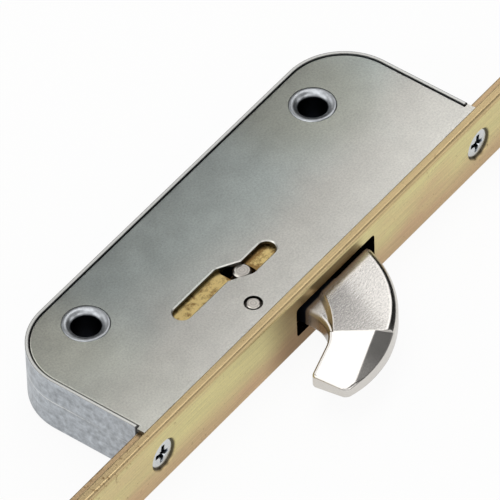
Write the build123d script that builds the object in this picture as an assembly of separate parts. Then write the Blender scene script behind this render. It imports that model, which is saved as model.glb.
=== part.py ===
from build123d import *
import math
import os

# Hook-bolt case of a multipoint door lock on its length of faceplate and drive rail.
# Millimetres. The part lies flat with the cover plate up. The origin is on the back of the
# faceplate, midway between its fixing holes. X runs along the faceplate, Y goes into the
# door and Z is the normal of the cover plate.

# Faceplate
plate_length = 200.0
plate_width = 16.0
plate_thick = 2.5
plate_edge_radius = 1.0
plate_back_radius = 0.25
plate_corner_radius = 1.2
fixing_inset = 10.0
fixing_hole = 4.5
fixing_sink = 8.0

# Slot in the faceplate for the hook
slot_left = 9.6
slot_right = 17.7
slot_height = 8.2
slot_corner_radius = 0.9

# Drive rail behind the faceplate
rail_width = 12.0
rail_thick = 2.3
rail_end_setback = 16.0
rail_play = 0.05
rail_edge_radius = 0.3
coupling_hole = 4.0
coupling_inset = 3.7
window_left = 20.2
window_right = 31.3
window_height = 7.4

# Case tray and cover plate
case_length = 115.6
case_depth = 39.0
case_thick = 14.8
case_wall = 0.8
case_floor = 1.0
case_corner_radius = 14.4
tray_bend_radius = 1.1
wall_setback = 0.1
cover_thick = 1.0
cover_recess = 0.15
cover_seam = 0.15
cover_edge_round = 0.35

# Case screws and the blocks they thread into
screw_inset = 2.65
screw_diameter = 3.5
screw_head = 7.4
screw_sink = 8.0
screw_length = 10.5
screw_hole_play = 0.1
screw_seat_play = 0.03
drive_bar_length = 4.3
drive_bar_width = 0.9
drive_bar_depth = 1.5
block_length = 6.3
block_depth = 7.0
block_skin = 0.4

# Hollow rivets with their spacer sleeves
left_eyelet_inset = 17.3
right_eyelet_inset = 19.5
rear_eyelet_inset = 10.0
eyelet_bore = 6.4
eyelet_barrel = 8.0
eyelet_flange = 10.3
eyelet_proud = 0.1
eyelet_flare_depth = 0.95
eyelet_edge = 0.15
eyelet_groove = 0.12
eyelet_play = 0.05
spacer_diameter = 10.0

# Cranked slot that shows the follower pin
crank_slot_width = 4.2
left_leg_end = -26.2
left_leg_y = 14.65
crank_left_x = -12.8
crank_right_x = -7.8
right_leg_end = -1.1
right_leg_y = 11.65
slot_chamfer = 0.25

# Hook pivot
pivot_x = -15.4
pivot_y = 4.3
pivot_diameter = 3.6
pivot_neck = 3.0
pivot_play = 0.05
pivot_sink = 4.1
pivot_sink_depth = 0.6
pivot_dome = 0.2

# Follower pin: where it stands with the hook out, and where with the hook in
follower_diameter = 4.0
follower_out_x = -8.4
follower_out_y = 12.6
follower_in_x = -26.1
follower_in_y = 14.6
follower_end_gap = 0.1
follower_end_chamfer = 0.35
sleeve_diameter = 5.6
sleeve_side_gap = 0.1
cam_play = 0.12
cam_outline_points = 36

# Hook
hook_arc_radius = 28.7
hook_arc_x = 3.0
hook_arc_y = 0.4
hook_thick = 6.4
neck_thick = 5.0
hub_radius = 4.05
tail_wall = 2.4
tip_inner_x = -5.5
tip_inner_y = -18.95
tip_outer_x = -4.1
tip_outer_y = -29.0
throat_x = 8.3
throat_y = -15.35
neck_y = -3.9
flank_x = 17.0
flank_y = -7.35
flank_radius = 2.0
shoulder_radius = 1.0
tip_inner_radius = 1.2
tip_outer_radius = 1.8
throat_radius = 8.0
ridge_inner_x = 6.0
ridge_inner_y = -15.6
ridge_outer_x = 11.6
ridge_outer_y = -22.9
tip_thick = 3.0
bevel_end_x = -3.8
bevel_end_y = -27.4
bevel_side_x = 12.4
bevel_side_y = -25.4
bevel_drop = 0.75
outer_round = 1.8
step_x = -4.56
step_y = 1.6
step_radius = 20.6
step_slope = 1.1
thin_tail_y = 3.0
throat_round = 1.0
tip_round = 0.7

# Sliders that carry the follower pin, and the block that joins them to the rail
slider_gap = 0.2
slider_play = 0.45
slider_left = -32.0
slider_right = 6.0
slider_front = 7.0
slider_rear = 19.5
slider_corner_radius = 2.0
slider_slot_margin = 0.6
slider_slot_play = 0.05
slider_slot_slack = 1.3
drive_block_right = -21.6
drive_block_setback = 0.25
tongue_left = -30.0
tongue_right = -24.0
tongue_height = 4.0
rivet_diameter = 3.0
rivet_head = 4.4
rivet_head_depth = 0.7
rivet_y = 7.1
rivet_spread = 5.0

# One overrun for every cut
over = 1.0

# Places that follow from the sizes above
plate_front = -plate_thick
fixing_x = plate_length / 2 - fixing_inset
rail_left = plate_length / 2
rail_right = plate_length / 2 - rail_end_setback
rail_front = rail_play
rail_back = rail_front + rail_thick
wall_front = rail_back + wall_setback
case_back = case_depth
half_case = case_thick / 2
floor_top = -half_case + case_floor
cover_top = half_case - cover_recess
cover_under = cover_top - cover_thick
half_hook = hook_thick / 2
half_neck = neck_thick / 2
slider_inner = half_hook + slider_gap
slider_outer = min(cover_under, -floor_top) - slider_play
travel = follower_out_x - follower_in_x
half_screw_pitch = case_length / 2 - screw_inset
left_eyelet_x = left_eyelet_inset - case_length / 2
right_eyelet_x = case_length / 2 - right_eyelet_inset
eyelet_y = case_depth - rear_eyelet_inset
out_x = follower_out_x - pivot_x
out_y = follower_out_y - pivot_y
in_x = follower_in_x - pivot_x
in_y = follower_in_y - pivot_y
swing = math.degrees(math.atan2(in_y, in_x) - math.atan2(out_y, out_x))


def block(x0, x1, y0, y1, z0, z1):
    """A straight block between two corners."""
    size = Box(x1 - x0, y1 - y0, z1 - z0)
    return Pos((x0 + x1) / 2, (y0 + y1) / 2, (z0 + z1) / 2) * size


def upright(x, y, radius, z0, z1):
    """A round bar along Z."""
    return Pos(x, y, (z0 + z1) / 2) * Cylinder(radius, z1 - z0)


def along_y(x, z, radius, y0, y1):
    """A round bar along Y."""
    return Pos(x, (y0 + y1) / 2, z) * Rot(90, 0, 0) * Cylinder(radius, y1 - y0)


def sink(x, wide, narrow):
    """The countersunk cut in the faceplate for a screw head, open at the front."""
    depth = (wide - narrow) / 2
    cone = Cone(wide / 2, narrow / 2, depth)
    lead = along_y(x, 0, wide / 2, plate_front - over, plate_front)
    return lead + Pos(x, plate_front + depth / 2, 0) * Rot(-90, 0, 0) * cone


def slot_across(x0, x1, height, y0, y1):
    """A round-ended slot along X, cut through in Y."""
    middle = block(x0 + height / 2, x1 - height / 2, y0, y1, -height / 2, height / 2)
    ends = along_y(x0 + height / 2, 0, height / 2, y0, y1)
    return middle + ends + along_y(x1 - height / 2, 0, height / 2, y0, y1)


def faceplate():
    half_width = plate_width / 2
    plate = block(-plate_length / 2, plate_length / 2, plate_front, 0, -half_width, half_width)
    plate = fillet(plate.edges().filter_by(Axis.Y), plate_corner_radius)
    long_edges = plate.edges().filter_by(Axis.X)
    plate = fillet(long_edges.group_by(Axis.Y)[0], plate_edge_radius)
    long_edges = plate.edges().filter_by(Axis.X)
    plate = fillet(long_edges.group_by(Axis.Y)[-1], plate_back_radius)
    y0 = plate_front - over
    hook_slot = block(-slot_left, slot_right, y0, over, -slot_height / 2, slot_height / 2)
    plate -= fillet(hook_slot.edges().filter_by(Axis.Y), slot_corner_radius)
    for side in (-1, 1):
        case_x = side * half_screw_pitch
        plate -= sink(case_x, screw_sink, screw_diameter)
        plate -= along_y(case_x, 0, screw_diameter / 2 + screw_hole_play, y0, over)
        door_x = side * fixing_x
        plate -= sink(door_x, fixing_sink, fixing_hole)
        plate -= along_y(door_x, 0, fixing_hole / 2, y0, over)
    return plate


def drive_rail():
    rail = block(-rail_left, rail_right, rail_front, rail_back, -rail_width / 2, rail_width / 2)
    rail = fillet(rail.edges().filter_by(Axis.X), rail_edge_radius)
    y0 = rail_front - over
    y1 = rail_back + over
    window = block(-window_left, window_right, y0, y1, -window_height / 2, window_height / 2)
    rail -= fillet(window.edges().filter_by(Axis.Y), slot_corner_radius)
    case_slot = screw_diameter + 4 * screw_hole_play
    for side in (-1, 1):
        x0 = side * half_screw_pitch - case_slot / 2
        rail -= slot_across(x0, x0 + case_slot + travel, case_slot, y0, y1)
    door_slot = fixing_hole + 4 * screw_hole_play
    x0 = -fixing_x - door_slot / 2
    rail -= slot_across(x0, x0 + door_slot + travel, door_slot, y0, y1)
    for x in (-rail_left + coupling_inset, rail_right - coupling_inset):
        rail -= along_y(x, 0, coupling_hole / 2, y0, y1)
    half_tongue = tongue_height / 2
    rail -= block(tongue_left, tongue_right, y0, y1, -half_tongue, half_tongue)
    return rail


def case_outline(inset, front):
    """The case seen from the cover, with two large rear corners, drawn in by an inset."""
    x = case_length / 2 - inset
    back = case_back - inset
    sheet = Pos(0, (front + back) / 2) * Rectangle(2 * x, back - front)
    return fillet(sheet.vertices().group_by(Axis.Y)[-1], case_corner_radius - inset)


def crank_slot(grow, z0, z1):
    """The cranked slot, as a bar that cuts it."""
    path = (
        (left_leg_end, left_leg_y),
        (crank_left_x, left_leg_y),
        (crank_right_x, right_leg_y),
        (right_leg_end, right_leg_y),
    )
    radius = crank_slot_width / 2 + grow
    return bar_along(path, radius, z0, z1)


def bar_along(path, radius, z0, z1):
    """A bar with round ends and round corners that follows points in the XY plane."""
    bar = upright(path[0][0], path[0][1], radius, z0, z1)
    for (x0, y0), (x1, y1) in zip(path[:-1], path[1:]):
        length = math.hypot(x1 - x0, y1 - y0)
        turn = math.degrees(math.atan2(y1 - y0, x1 - x0))
        straight = Rot(0, 0, turn) * Box(length, 2 * radius, z1 - z0)
        bar += Pos((x0 + x1) / 2, (y0 + y1) / 2, (z0 + z1) / 2) * straight
        bar += upright(x1, y1, radius, z0, z1)
    return bar


def block_ends(side, grow):
    """The two X faces of a fixing block, inner face first."""
    outer = case_length / 2 - block_skin + grow
    inner = case_length / 2 - block_skin - block_length - grow
    return side * inner, side * outer


def case_tray():
    shell = Pos(0, 0, -half_case) * extrude(case_outline(0, 0), case_thick)
    bottom = shell.faces().sort_by(Axis.Z)[0].edges()
    shell = fillet([e for e in bottom if e.center().Y > over], tray_bend_radius)
    hollow = extrude(case_outline(case_wall, -over), case_thick)
    shell -= Pos(0, 0, floor_top) * hollow
    half = case_length / 2 + over
    shell -= block(-half, half, -over, wall_front, floor_top, half_case + over)
    for side in (-1, 1):
        inner, outer = block_ends(side, 0)
        x0, x1 = sorted((inner, outer))
        shell -= block(x0, x1, wall_front, wall_front + block_depth, floor_top, cover_under)
    for x in (left_eyelet_x, right_eyelet_x):
        shell -= Pos(x, eyelet_y, -half_case) * Rot(180, 0, 0) * flared_hole()
    shell -= upright(pivot_x, pivot_y, pivot_neck / 2 + pivot_play, -half_case - over, floor_top + over)
    shell -= crank_slot(0, -half_case - over, floor_top + over)
    return shell


def cover_plate():
    sheet = case_outline(case_wall + cover_seam, wall_front)
    plate = Pos(0, 0, cover_under) * extrude(sheet, cover_thick)
    half = case_length / 2
    inner = half - case_wall - cover_seam
    plate += block(-inner, inner, 0, wall_front + over, cover_under, cover_top)
    plate += block(-half, half, 0, wall_front - cover_seam, cover_under, cover_top)
    rim = [e for e in plate.faces().sort_by(Axis.Z)[-1].edges() if e.center().Y > wall_front + over]
    plate = fillet(rim, cover_edge_round)
    for x in (left_eyelet_x, right_eyelet_x):
        plate -= Pos(x, eyelet_y, cover_top) * flared_hole()
    plate -= upright(pivot_x, pivot_y, pivot_neck / 2 + pivot_play, cover_under - over, cover_top + over)
    plate -= upright(pivot_x, pivot_y, pivot_sink / 2, cover_top - pivot_sink_depth, cover_top + over)
    plate -= crank_slot(0, cover_under - over, cover_top + over)
    opening = [e for e in plate.faces().sort_by(Axis.Z)[-1].edges() if near_crank(e.center())]
    return chamfer(opening, slot_chamfer)


def near_crank(point):
    """True for the edges of the cranked slot."""
    reach = crank_slot_width
    inside_x = left_leg_end - reach < point.X < right_leg_end + reach
    inside_y = right_leg_y - reach < point.Y < left_leg_y + reach
    return inside_x and inside_y


def fixing_block(side):
    inner, outer = block_ends(side, 0)
    x0, x1 = sorted((inner, outer))
    body = block(x0, x1, wall_front, wall_front + block_depth, floor_top, cover_under)
    body = chamfer(body.edges().filter_by(Axis.Z).group_by(Axis.Y)[-1], block_skin)
    screw_x = side * half_screw_pitch
    return body - along_y(screw_x, 0, screw_diameter / 2, wall_front - over, wall_front + block_depth + over)


def case_screw(side):
    x = side * half_screw_pitch
    sink_depth = (screw_head - screw_diameter) / 2
    head_top = plate_front + (screw_sink - screw_head) / 2 - screw_seat_play
    head_bottom = head_top + sink_depth
    cone = Cone(screw_head / 2, screw_diameter / 2, sink_depth)
    screw = Pos(x, (head_top + head_bottom) / 2, 0) * Rot(-90, 0, 0) * cone
    screw += along_y(x, 0, screw_diameter / 2, head_bottom, head_top + screw_length)
    for turn in (0, 90):
        bar = Box(drive_bar_length, 2 * drive_bar_depth, drive_bar_width)
        screw -= Pos(x, head_top, 0) * Rot(0, turn + 45, 0) * bar
    return screw


def flared_hole():
    """The cut for one flared end of an eyelet, with the sheet's outer face at Z zero."""
    barrel = eyelet_barrel / 2 + eyelet_play
    rim = eyelet_flange / 2 + eyelet_groove
    slope = eyelet_flare_depth - eyelet_edge
    cut = upright(0, 0, barrel, -cover_thick - over, 0)
    cut += Pos(0, 0, -eyelet_edge - slope / 2) * Cone(barrel, rim, slope)
    return cut + upright(0, 0, rim, -eyelet_edge, over)


def eyelet(x):
    """A hollow rivet: a thin barrel whose two ends are flared like a trumpet."""
    bore = eyelet_bore / 2
    barrel = eyelet_barrel / 2
    rim = eyelet_flange / 2
    lip = rim - eyelet_edge
    bend = bore + (rim - bore) / 4
    half = cover_top / 2 + half_case / 2
    proud = half + eyelet_proud
    root = half - eyelet_flare_depth
    brow = half - eyelet_flare_depth / 4
    edge = half - eyelet_edge
    with BuildPart() as rivet:
        with BuildSketch(Plane.XZ):
            with BuildLine():
                Line((bore, -root), (bore, root))
                ThreePointArc((bore, root), (bend, brow), (lip, proud))
                Line((lip, proud), (rim, half))
                Line((rim, half), (rim, edge))
                Line((rim, edge), (barrel, root))
                Line((barrel, root), (barrel, -root))
                Line((barrel, -root), (rim, -edge))
                Line((rim, -edge), (rim, -half))
                Line((rim, -half), (lip, -proud))
                ThreePointArc((lip, -proud), (bend, -brow), (bore, -root))
            make_face()
        revolve(axis=Axis.Z)
    return Pos(x, eyelet_y, cover_top - half) * rivet.part


def eyelet_spacer(x):
    tube = upright(x, eyelet_y, spacer_diameter / 2, floor_top, cover_under)
    bore = eyelet_barrel / 2 + eyelet_play
    return tube - upright(x, eyelet_y, bore, floor_top - over, cover_under + over)


def hook_pivot_pin():
    pin = upright(pivot_x, pivot_y, pivot_diameter / 2, floor_top, cover_under)
    neck = upright(pivot_x, pivot_y, pivot_neck / 2, -half_case, cover_top)
    ends = [e for e in neck.edges().filter_by(GeomType.CIRCLE)]
    return pin + chamfer(ends, pivot_dome)


def follower_pin():
    z0 = floor_top + follower_end_gap
    z1 = cover_under - follower_end_gap
    pin = upright(follower_out_x, follower_out_y, follower_diameter / 2, z0, z1)
    return chamfer(pin.edges().filter_by(GeomType.CIRCLE), follower_end_chamfer)


def follower_sleeve():
    half = half_neck - sleeve_side_gap
    tube = upright(follower_out_x, follower_out_y, sleeve_diameter / 2, -half, half)
    return tube - upright(follower_out_x, follower_out_y, follower_diameter / 2, -half - over, half + over)


def cam_path(steps=40):
    """The follower's centre as the hook sees it, while the hook turns at a steady rate."""
    path = []
    for i in range(steps + 1):
        share = i / steps
        x = out_x + (in_x - out_x) * share
        y = out_y + (in_y - out_y) * share
        back = -math.radians(swing) * share
        path.append((x * math.cos(back) - y * math.sin(back), x * math.sin(back) + y * math.cos(back)))
    return path


def cam_bar(radius, z0, z1):
    """The room that a round follower sweeps along the cam path, as a bar."""
    path = cam_path()
    middle_x = (path[0][0] + path[-1][0]) / 2
    middle_y = (path[0][1] + path[-1][1]) / 2
    outline = []
    for i in range(cam_outline_points):
        turn = math.tau * i / cam_outline_points
        reach = 0
        for x, y in path:
            along = (x - middle_x) * math.cos(turn) + (y - middle_y) * math.sin(turn)
            aside = (y - middle_y) * math.cos(turn) - (x - middle_x) * math.sin(turn)
            if abs(aside) < radius:
                reach = max(reach, along + math.sqrt(radius * radius - aside * aside))
        outline.append((middle_x + reach * math.cos(turn), middle_y + reach * math.sin(turn)))
    sheet = make_face(Spline(*outline, periodic=True))
    return Pos(0, 0, z0) * extrude(sheet, z1 - z0)


def dwell_path():
    """The straight leg of the hook's slot, where the follower locks the thrown hook."""
    return [(out_x, out_y), (right_leg_end - pivot_x, right_leg_y - pivot_y)]


def tip_cut(first, second, third, side):
    """A block whose flat face holds three points of the tip, on the side away from the hook."""
    a = Vector(first[0], first[1], side * first[2])
    b = Vector(second[0], second[1], side * second[2])
    c = Vector(third[0], third[1], side * third[2])
    normal = (b - a).cross(c - a).normalized()
    if normal.Z * side < 0:
        normal = -normal
    reach = 4 * hook_arc_radius
    plane = Plane(origin=a, z_dir=normal)
    return plane * Pos(0, 0, reach / 2) * Box(reach, reach, reach)


def beyond_ridge():
    """The space on the tip's side of the ridge."""
    along_x = ridge_outer_x - ridge_inner_x
    along_y = ridge_outer_y - ridge_inner_y
    turn = math.degrees(math.atan2(along_y, along_x))
    reach = 4 * hook_arc_radius
    room = Pos(0, -reach / 2, 0) * Box(reach, reach, reach)
    return Pos(ridge_outer_x, ridge_outer_y) * Rot(0, 0, turn) * room


def hook_blank():
    """The hook's outline, seen from the cover, with its pivot at the origin."""
    reach = hook_arc_radius + over
    shoulder_x = hook_arc_x + hook_arc_radius
    dwell_x, dwell_y = dwell_path()[-1]
    tail_x, tail_y = cam_path()[-1]
    lobe = sleeve_diameter / 2 + cam_play + tail_wall
    blade = Polygon(
        (tip_inner_x, tip_inner_y),
        (throat_x, throat_y),
        (throat_x, neck_y),
        (0, -hub_radius + pivot_play),
        (0, 0),
        (tail_x, tail_y),
        (dwell_x, dwell_y + lobe),
        (dwell_x + lobe, dwell_y),
        (flank_x, flank_y),
        (shoulder_x, flank_y),
        (shoulder_x, -reach),
        (tip_outer_x, -reach),
        align=None,
    )
    blade &= Pos(hook_arc_x, hook_arc_y) * Circle(hook_arc_radius)
    corners = blade.vertices()
    blade = fillet(nearest(corners, tip_inner_x, tip_inner_y), tip_inner_radius)
    blade = fillet(nearest(blade.vertices(), tip_outer_x, tip_outer_y), tip_outer_radius)
    blade = fillet(nearest(blade.vertices(), throat_x, throat_y), throat_radius)
    blade = fillet(nearest(blade.vertices(), flank_x, flank_y), flank_radius)
    blade = fillet(nearest(blade.vertices(), shoulder_x, flank_y), shoulder_radius)
    return blade


def nearest(corners, x, y):
    return min(corners, key=lambda c: math.hypot(c.X - x, c.Y - y))


def throat_cut():
    """What rounds the throat's upper edge: a sharp corner less the round, swept along the edge."""
    corner = Rectangle(throat_round + over, throat_round + over, align=(Align.MAX, Align.MIN))
    corner -= Circle(throat_round)
    corner = Pos(throat_radius + throat_round, half_neck - throat_round) * corner
    tip_side = Vector(tip_inner_x - throat_x, tip_inner_y - throat_y)
    opening = math.atan2(abs(tip_side.X), -tip_side.Y)
    middle_x = throat_x - throat_radius
    middle_y = throat_y + throat_radius / math.tan((math.pi - opening) / 2)
    bend = revolve(Plane.XZ * corner, Axis.Z)
    lower = Pos(0, -2 * throat_radius) * Box(4 * throat_radius, 4 * throat_radius, hook_thick + 2 * over)
    straight = extrude(Plane.XZ * corner, middle_y - neck_y)
    return Pos(middle_x, middle_y) * ((bend & lower) + straight) - beyond_ridge()


def hook_bolt():
    lobe = sleeve_diameter / 2 + cam_play + tail_wall
    blade = extrude(hook_blank(), half_hook, both=True)
    half_wall = Pos(hook_arc_radius / 2, 0) * Rectangle(hook_arc_radius, hook_thick)
    half_wall = fillet(half_wall.vertices().group_by(Axis.X)[-1], outer_round)
    blade &= Pos(hook_arc_x, hook_arc_y) * revolve(Plane.XZ * half_wall, Axis.Z)
    ridge_inner = (ridge_inner_x, ridge_inner_y, half_hook)
    ridge_outer = (ridge_outer_x, ridge_outer_y, half_hook)
    tip_low = ((tip_inner_x + tip_outer_x) / 2, (tip_inner_y + tip_outer_y) / 2, tip_thick / 2)
    bevel_low = (bevel_end_x, bevel_end_y, tip_thick / 2)
    bevel_side = (bevel_side_x, bevel_side_y, half_hook - bevel_drop)
    depth = half_hook - half_neck
    for side in (-1, 1):
        blade -= tip_cut(ridge_inner, ridge_outer, tip_low, side)
        blade -= tip_cut(ridge_outer, bevel_low, bevel_side, side) & beyond_ridge()
    blade = fillet([e for e in blade.edges() if on_tip_rim(e)], tip_round)
    for side in (-1, 1):
        cone = Cone(step_radius - step_slope, step_radius, depth)
        if side < 0:
            cone = Rot(180, 0, 0) * cone
        blade -= Pos(step_x, step_y, side * (half_neck + depth / 2)) * cone - beyond_ridge()
    blade -= throat_cut()
    blade -= mirror(throat_cut(), Plane.XY)
    blade += upright(0, 0, hub_radius, -half_neck, half_neck)
    blade += cam_bar(lobe, -half_neck, half_neck)
    blade += bar_along(dwell_path(), lobe, -half_neck, half_neck)
    reach = 2 * hook_arc_radius
    for side in (-1, 1):
        tail_middle = thin_tail_y + reach / 2
        blade -= Pos(0, tail_middle, side * (half_neck + over / 2)) * Box(2 * reach, reach, over)
    cam = sleeve_diameter / 2 + cam_play
    blade -= cam_bar(cam, -half_hook - over, half_hook + over)
    blade -= bar_along(dwell_path(), cam, -half_hook - over, half_hook + over)
    blade -= upright(0, 0, pivot_diameter / 2 + pivot_play, -half_hook - over, half_hook + over)
    return Pos(pivot_x, pivot_y, 0) * blade


def on_tip_rim(edge):
    """True for the edges between the sloping tip and its inner and end walls."""
    middle = edge @ 0.5
    level = abs(edge.tangent_at(0.5).Z) < 0.5 and abs(middle.Z) > over
    inner = middle.X < ridge_inner_x - over and middle.Y > tip_inner_y - tip_inner_radius
    end = middle.X < (tip_inner_x + tip_outer_x) / 2 + over and middle.Y < tip_inner_y
    return level and middle.Y < ridge_inner_y and (inner or end)


def slider_plate(side):
    z0, z1 = sorted((side * slider_inner, side * slider_outer))
    plate = block(slider_left, slider_right, slider_front, slider_rear, z0, z1)
    front = rail_back + drive_block_setback
    plate += block(slider_left, drive_block_right, front, slider_rear, z0, z1)
    plate = fillet(plate.edges().filter_by(Axis.Z).group_by(Axis.X)[-1], slider_corner_radius)
    slot = follower_diameter / 2 + slider_slot_play
    y0 = min(follower_out_y, right_leg_y) - slider_slot_margin
    y1 = max(follower_in_y, left_leg_y) + slider_slot_margin
    slack_x = follower_out_x - slider_slot_slack
    for x in (slack_x, follower_out_x):
        plate -= bar_along([(x, y0), (x, y1)], slot, z0 - over, z1 + over)
    plate -= block(slack_x, follower_out_x, y0 - slot, y1 + slot, z0 - over, z1 + over)
    for side in (-1, 1):
        plate -= slider_rivet(side)
    return plate


def drive_block():
    body = block(slider_left, drive_block_right, rail_back, slider_rear, -slider_inner, slider_inner)
    body = chamfer(body.edges().filter_by(Axis.Z).group_by(Axis.Y)[-1], rivet_head_depth)
    half_tongue = tongue_height / 2
    body += block(tongue_left, tongue_right, rail_front, rail_back + over, -half_tongue, half_tongue)
    for side in (-1, 1):
        body -= slider_rivet(side)
    return body


def slider_rivet(side):
    """A rivet through both sliders and the block, with flush countersunk heads."""
    x = (slider_left + drive_block_right) / 2 + side * rivet_spread / 2
    rivet = upright(x, rivet_y, rivet_diameter / 2, -slider_outer, slider_outer)
    for end in (-1, 1):
        cone = Cone(rivet_diameter / 2, rivet_head / 2, rivet_head_depth)
        if end < 0:
            cone = Rot(180, 0, 0) * cone
        rivet += Pos(x, rivet_y, end * (slider_outer - rivet_head_depth / 2)) * cone
    return rivet


def slider_rivets():
    return Compound([slider_rivet(-1), slider_rivet(1)])


nodes = {
    "faceplate": faceplate(),
    "drive_rail": drive_rail(),
    "case_tray": case_tray(),
    "cover_plate": cover_plate(),
    "left_fixing_block": fixing_block(-1),
    "right_fixing_block": fixing_block(1),
    "left_case_screw": case_screw(-1),
    "right_case_screw": case_screw(1),
    "left_eyelet": eyelet(left_eyelet_x),
    "right_eyelet": eyelet(right_eyelet_x),
    "left_eyelet_spacer": eyelet_spacer(left_eyelet_x),
    "right_eyelet_spacer": eyelet_spacer(right_eyelet_x),
    "hook_pivot_pin": hook_pivot_pin(),
    "hook_bolt": hook_bolt(),
    "follower_pin": follower_pin(),
    "follower_sleeve": follower_sleeve(),
    "upper_slider_plate": slider_plate(1),
    "lower_slider_plate": slider_plate(-1),
    "drive_block": drive_block(),
    "slider_rivets": slider_rivets(),
}

os.makedirs("parts", exist_ok=True)
for name, shape in nodes.items():
    export_step(shape, "parts/" + name + ".step")
print("rail travel", round(travel, 3), "hook swing", round(swing, 3))
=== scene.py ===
import math

import bmesh
import bpy
from mathutils import Matrix, Vector


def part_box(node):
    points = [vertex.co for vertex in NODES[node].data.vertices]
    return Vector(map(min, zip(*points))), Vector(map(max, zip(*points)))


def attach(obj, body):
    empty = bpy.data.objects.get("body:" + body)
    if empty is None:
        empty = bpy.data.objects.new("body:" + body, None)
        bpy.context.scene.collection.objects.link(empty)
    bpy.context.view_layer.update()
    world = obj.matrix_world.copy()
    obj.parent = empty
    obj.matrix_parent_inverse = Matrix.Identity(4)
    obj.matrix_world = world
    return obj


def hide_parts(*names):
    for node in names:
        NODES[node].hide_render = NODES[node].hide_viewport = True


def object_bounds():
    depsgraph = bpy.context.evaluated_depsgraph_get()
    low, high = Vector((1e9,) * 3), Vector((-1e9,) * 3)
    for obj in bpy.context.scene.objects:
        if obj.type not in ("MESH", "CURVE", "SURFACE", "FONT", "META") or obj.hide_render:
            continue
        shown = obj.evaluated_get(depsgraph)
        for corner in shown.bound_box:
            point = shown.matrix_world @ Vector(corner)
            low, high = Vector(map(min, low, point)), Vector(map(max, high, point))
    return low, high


bl_info = {
    "name": "Hook bolt case dresser",
    "version": (1, 0, 0),
    "blender": (4, 5, 0),
    "location": "3D View > Sidebar > Hook bolt",
    "description": "Gives a hook bolt case of a multipoint lock its finishes, screws and rivets",
    "category": "Object",
}

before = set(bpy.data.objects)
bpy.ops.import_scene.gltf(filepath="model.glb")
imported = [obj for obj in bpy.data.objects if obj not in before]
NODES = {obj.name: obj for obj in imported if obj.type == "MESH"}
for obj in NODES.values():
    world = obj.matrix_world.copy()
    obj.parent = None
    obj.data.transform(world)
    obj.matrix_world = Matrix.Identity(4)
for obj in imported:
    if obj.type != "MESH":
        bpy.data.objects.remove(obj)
CAD_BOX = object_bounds()
MM = 0.001

# The case and the strip, in metres
STRIP_BOTTOM = CAD_BOX[0][2]
STRIP_TOP = CAD_BOX[1][2]
CASE_RADIUS = 14.4 * MM
RIM_WIDTH = 0.8 * MM
WALL_FRONT = 2.45 * MM

# What a noise texture mostly stays between, and how high the surfaces' reliefs are, in metres
NOISE_LOW = 0.3
NOISE_HIGH = 0.7
FINE_RELIEF = 0.02 * MM
GRAIN_RELIEF = 0.03 * MM
GREASE_RELIEF = 0.05 * MM

# The nodes that the finishes use most, and their usual settings: a range that eases in and
# out, a mix from one colour to another, and a colour times a tone
MATH = "ShaderNodeMath"
RANGE = "ShaderNodeMapRange"
MIX = "ShaderNodeMix"
SOFT = {"interpolation_type": "SMOOTHSTEP"}
BLEND = {"data_type": "RGBA"}
TINT = {"data_type": "RGBA", "blend_type": "MULTIPLY"}


def linear(hex_colour):
    """Turns an sRGB hex value into a linear colour."""
    out = []
    for i in (1, 3, 5):
        c = int(hex_colour[i:i + 2], 16) / 255
        out.append(c / 12.92 if c <= 0.04045 else ((c + 0.055) / 1.055) ** 2.4)
    return (out[0], out[1], out[2], 1.0)


def add(tree, kind, inputs=(), **settings):
    """Adds a node with its settings and links.

    Inputs go by name, or into the sockets that the node shows, from the top. Each is a value,
    a socket, or a node whose first shown output is meant."""
    node = tree.nodes.new(kind)
    for key, value in settings.items():
        setattr(node, key, value)
    if isinstance(inputs, dict):
        pairs = [(node.inputs[key], value) for key, value in inputs.items()]
    else:
        pairs = zip([socket for socket in node.inputs if socket.enabled], inputs)
    for socket, value in pairs:
        if isinstance(value, bpy.types.Node):
            value = next(output for output in value.outputs if output.enabled)
        if isinstance(value, bpy.types.NodeSocket):
            tree.links.new(value, socket)
        else:
            socket.default_value = value
    return node


def empty_material(name):
    material = bpy.data.materials.new(name)
    material.use_nodes = True
    material.node_tree.nodes.clear()
    return material, material.node_tree


def per_mm(length):
    """The noise scale of a pattern whose features are that many millimetres apart."""
    return 1 / (length * MM)


def middle_of(node):
    low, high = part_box(node)
    return (low + high) / 2


# Finishes


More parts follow.
